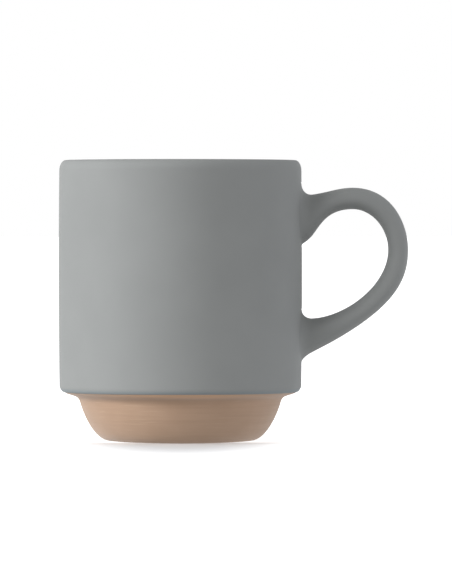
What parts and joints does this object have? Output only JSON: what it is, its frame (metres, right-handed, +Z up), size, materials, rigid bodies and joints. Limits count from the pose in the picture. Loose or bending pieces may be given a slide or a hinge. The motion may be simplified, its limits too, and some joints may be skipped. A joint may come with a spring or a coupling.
{
  "type": "stackable mug",
  "caption": "Straight-sided stoneware mug with an oval ear handle and a narrow bare-clay foot that nests in the rim of another mug.",
  "frame": {"origin": "on the cup's axis at table level, under the middle of the foot: the underside's flat middle is 0.6 mm above it", "axes": "+Z up along the cup's axis towards the rim, +X from the axis towards the handle, +Y to the left of the handle seen from the cup"},
  "size_m": [0.1155, 0.0804, 0.0925],
  "materials": {
    "bare_stoneware": "matte",
    "dried_slip": "matte",
    "grey_glaze": "satin",
    "liner_glaze": "satin"
  },
  "bodies": {
    "root": {"clay_cup": "bare_stoneware", "clay_handle": "bare_stoneware", "upper_slip_joint": "dried_slip", "lower_slip_joint": "dried_slip", "outer_glaze": "grey_glaze", "inner_glaze": "liner_glaze"}
  },
  "joints": []
}
